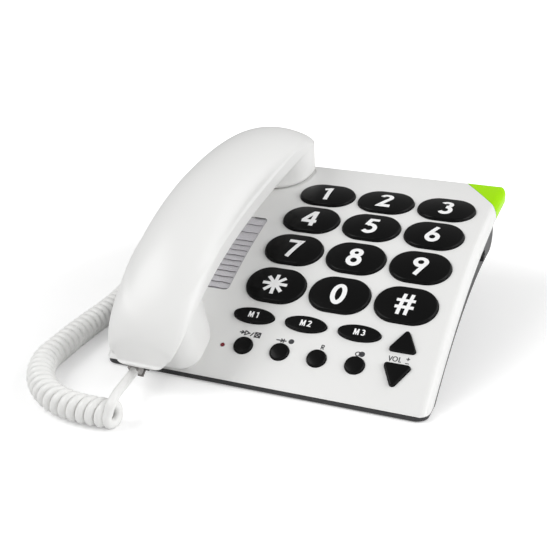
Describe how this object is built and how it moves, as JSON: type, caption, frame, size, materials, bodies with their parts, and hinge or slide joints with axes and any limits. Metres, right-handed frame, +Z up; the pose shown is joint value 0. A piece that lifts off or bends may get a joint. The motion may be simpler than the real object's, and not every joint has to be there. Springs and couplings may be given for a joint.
{
  "type": "corded landline phone",
  "caption": "Corded desk telephone with large push keys on a curved wedge base, a lift-off handset lying along its left side and a curly cord between the two.",
  "frame": {"origin": "middle of the footprint of base and handset together, on the desk", "axes": "+X to the right of someone using it, +Y to the back, +Z up"},
  "size_m": [0.2488, 0.282, 0.1122],
  "materials": {
    "white_shell": "satin gloss",
    "lime_lens": "satin, translucent",
    "dark_shell": "satin",
    "rubber": "matt",
    "card": "printed card",
    "clear_cover": "clear, polished",
    "key_black": "satin",
    "mat_rubber": "matt",
    "board": "solder resist",
    "black_moulding": "matt",
    "steel": "plated",
    "red_lamp": "clear",
    "green_lamp": "clear",
    "clear_plug": "clear",
    "cord_jacket": "satin",
    "weight_metal": "raw"
  },
  "bodies": {
    "base": {"top_shell": "white_shell", "ringer_lens": "lime_lens", "bottom_shell": "dark_shell", "desk_stand": "dark_shell", "rubber_feet": "rubber", "index_card": "card", "card_cover": "clear_cover", "number_key_mat": "mat_rubber", "small_key_mat": "mat_rubber", "keypad_board": "board", "small_key_board": "board", "main_board": "board", "hook_switch": "black_moulding", "ringer_speaker": "black_moulding", "ringer_light": "green_lamp", "status_light": "red_lamp", "line_socket": "black_moulding", "base_cord_socket": "black_moulding", "case_screws": "steel", "stand_screws": "steel", "board_screws": "steel", "base_plug": "clear_plug", "base_lead": "cord_jacket", "coil_cord": "cord_jacket"},
    "key_1": {"key_1": "key_black"},
    "key_2": {"key_2": "key_black"},
    "key_3": {"key_3": "key_black"},
    "key_4": {"key_4": "key_black"},
    "key_5": {"key_5": "key_black"},
    "key_6": {"key_6": "key_black"},
    "key_7": {"key_7": "key_black"},
    "key_8": {"key_8": "key_black"},
    "key_9": {"key_9": "key_black"},
    "key_star": {"key_star": "key_black"},
    "key_0": {"key_0": "key_black"},
    "key_hash": {"key_hash": "key_black"},
    "memory_key_1": {"memory_key_1": "key_black"},
    "memory_key_2": {"memory_key_2": "key_black"},
    "memory_key_3": {"memory_key_3": "key_black"},
    "round_key_1": {"round_key_1": "key_black"},
    "round_key_2": {"round_key_2": "key_black"},
    "round_key_3": {"round_key_3": "key_black"},
    "round_key_4": {"round_key_4": "key_black"},
    "volume_up_key": {"volume_up_key": "key_black"},
    "volume_down_key": {"volume_down_key": "key_black"},
    "hook_plunger": {"hook_plunger": "white_shell"},
    "ringer_switch": {"ringer_switch_knob": "black_moulding"},
    "handset": {"handset_outer_shell": "white_shell", "handset_inner_shell": "white_shell", "receiver_capsule": "black_moulding", "microphone_capsule": "steel", "microphone_boot": "rubber", "handset_weight": "weight_metal", "handset_socket": "black_moulding", "handset_screws": "steel", "handset_plug": "clear_plug", "handset_lead": "cord_jacket"}
  },
  "joints": [
    {"name": "key_1_press", "type": "slide", "parent": "base", "child": "key_1", "axis": [0, 0.1702, -0.9854], "range_m": [0, 0.0018], "stiffness_N_per_m": 900, "springref_m": -0.0004},
    {"name": "key_2_press", "type": "slide", "parent": "base", "child": "key_2", "axis": [0, 0.1702, -0.9854], "range_m": [0, 0.0018], "stiffness_N_per_m": 900, "springref_m": -0.0004},
    {"name": "key_3_press", "type": "slide", "parent": "base", "child": "key_3", "axis": [0, 0.1702, -0.9854], "range_m": [0, 0.0018], "stiffness_N_per_m": 900, "springref_m": -0.0004},
    {"name": "key_4_press", "type": "slide", "parent": "base", "child": "key_4", "axis": [0, 0.2544, -0.9671], "range_m": [0, 0.0018], "stiffness_N_per_m": 900, "springref_m": -0.0004},
    {"name": "key_5_press", "type": "slide", "parent": "base", "child": "key_5", "axis": [0, 0.2544, -0.9671], "range_m": [0, 0.0018], "stiffness_N_per_m": 900, "springref_m": -0.0004},
    {"name": "key_6_press", "type": "slide", "parent": "base", "child": "key_6", "axis": [0, 0.2544, -0.9671], "range_m": [0, 0.0018], "stiffness_N_per_m": 900, "springref_m": -0.0004},
    {"name": "key_7_press", "type": "slide", "parent": "base", "child": "key_7", "axis": [0, 0.3367, -0.9416], "range_m": [0, 0.0018], "stiffness_N_per_m": 900, "springref_m": -0.0004},
    {"name": "key_8_press", "type": "slide", "parent": "base", "child": "key_8", "axis": [0, 0.3367, -0.9416], "range_m": [0, 0.0018], "stiffness_N_per_m": 900, "springref_m": -0.0004},
    {"name": "key_9_press", "type": "slide", "parent": "base", "child": "key_9", "axis": [0, 0.3367, -0.9416], "range_m": [0, 0.0018], "stiffness_N_per_m": 900, "springref_m": -0.0004},
    {"name": "key_star_press", "type": "slide", "parent": "base", "child": "key_star", "axis": [0, 0.4165, -0.9091], "range_m": [0, 0.0018], "stiffness_N_per_m": 900, "springref_m": -0.0004},
    {"name": "key_0_press", "type": "slide", "parent": "base", "child": "key_0", "axis": [0, 0.4165, -0.9091], "range_m": [0, 0.0018], "stiffness_N_per_m": 900, "springref_m": -0.0004},
    {"name": "key_hash_press", "type": "slide", "parent": "base", "child": "key_hash", "axis": [0, 0.4165, -0.9091], "range_m": [0, 0.0018], "stiffness_N_per_m": 900, "springref_m": -0.0004},
    {"name": "memory_key_1_press", "type": "slide", "parent": "base", "child": "memory_key_1", "axis": [0, 0.4771, -0.8789], "range_m": [0, 0.0012], "stiffness_N_per_m": 900, "springref_m": -0.0004},
    {"name": "memory_key_2_press", "type": "slide", "parent": "base", "child": "memory_key_2", "axis": [0, 0.4771, -0.8789], "range_m": [0, 0.0012], "stiffness_N_per_m": 900, "springref_m": -0.0004},
    {"name": "memory_key_3_press", "type": "slide", "parent": "base", "child": "memory_key_3", "axis": [0, 0.4771, -0.8789], "range_m": [0, 0.0012], "stiffness_N_per_m": 900, "springref_m": -0.0004},
    {"name": "round_key_1_press", "type": "slide", "parent": "base", "child": "round_key_1", "axis": [0, 0.526, -0.8505], "range_m": [0, 0.0012], "stiffness_N_per_m": 900, "springref_m": -0.0004},
    {"name": "round_key_2_press", "type": "slide", "parent": "base", "child": "round_key_2", "axis": [0, 0.526, -0.8505], "range_m": [0, 0.0012], "stiffness_N_per_m": 900, "springref_m": -0.0004},
    {"name": "round_key_3_press", "type": "slide", "parent": "base", "child": "round_key_3", "axis": [0, 0.526, -0.8505], "range_m": [0, 0.0012], "stiffness_N_per_m": 900, "springref_m": -0.0004},
    {"name": "round_key_4_press", "type": "slide", "parent": "base", "child": "round_key_4", "axis": [0, 0.526, -0.8505], "range_m": [0, 0.0012], "stiffness_N_per_m": 900, "springref_m": -0.0004},
    {"name": "volume_up_key_press", "type": "slide", "parent": "base", "child": "volume_up_key", "axis": [0, 0.4766, -0.8791], "range_m": [0, 0.0012], "stiffness_N_per_m": 900, "springref_m": -0.0004},
    {"name": "volume_down_key_press", "type": "slide", "parent": "base", "child": "volume_down_key", "axis": [0, 0.5319, -0.8468], "range_m": [0, 0.0012], "stiffness_N_per_m": 900, "springref_m": -0.0004},
    {"name": "handset_lift", "type": "slide", "parent": "base", "child": "handset", "axis": [0, 0, 1], "range_m": [0, 0.12]},
    {"name": "hook_plunger_rise", "type": "slide", "parent": "base", "child": "hook_plunger", "axis": [0, -0.1667, 0.986], "range_m": [0, 0.004]},
    {"name": "ringer_switch_slide", "type": "slide", "parent": "base", "child": "ringer_switch", "axis": [0, 1, 0], "range_m": [0, 0.006]}
  ],
  "couplings": [
    {"joint": "hook_plunger_rise", "follows": "handset_lift", "ratio": 0.033333}
  ]
}
